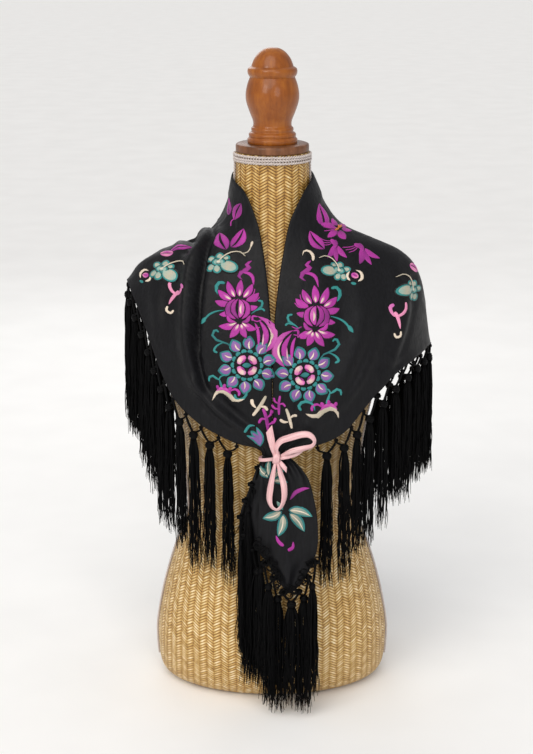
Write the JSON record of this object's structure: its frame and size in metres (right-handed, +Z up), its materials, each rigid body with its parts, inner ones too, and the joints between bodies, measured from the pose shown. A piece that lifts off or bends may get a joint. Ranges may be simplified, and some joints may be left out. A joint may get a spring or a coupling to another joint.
{
  "type": "fringed shawl on limbless dress form",
  "caption": "Folded square silk shawl with netted tassel fringe, tied in front with a ribbon bow on a limbless straw covered tabletop dress form.",
  "frame": {"origin": "middle of the dress form's resting face, on the axis of its neck, at the height of the table", "axes": "+Z up through the neck and finial, -Y towards the front with the tied ends, +X to the right as seen from the front"},
  "size_m": [0.4389, 0.3099, 0.9118],
  "materials": {
    "woven_straw": "herringbone woven straw",
    "cotton_braid": "matt braid",
    "stained_wood": "stained and varnished",
    "varnished_wood": "turned and varnished",
    "black_silk": "soft silk with hand embroidery",
    "black_fringe": "knotted silk yarn",
    "pink_satin": "satin ribbon"
  },
  "bodies": {
    "root": {"form_body": "woven_straw", "form_neck_braid": "cotton_braid", "form_braid_right": "cotton_braid", "form_braid_left": "cotton_braid", "form_disc": "stained_wood", "form_finial": "varnished_wood", "shawl_body": "black_silk", "shawl_tail_front": "black_silk", "shawl_tail_rear": "black_silk", "fringe_right_front": "black_fringe", "fringe_right_back": "black_fringe", "fringe_left_back": "black_fringe", "fringe_left_front": "black_fringe", "fringe_tail_front": "black_fringe", "fringe_tail_rear": "black_fringe", "ribbon_wrap": "pink_satin", "ribbon_knot": "pink_satin", "ribbon_end_up": "pink_satin", "ribbon_loop_right": "pink_satin", "ribbon_loop_down": "pink_satin", "ribbon_end_short": "pink_satin"}
  },
  "joints": []
}
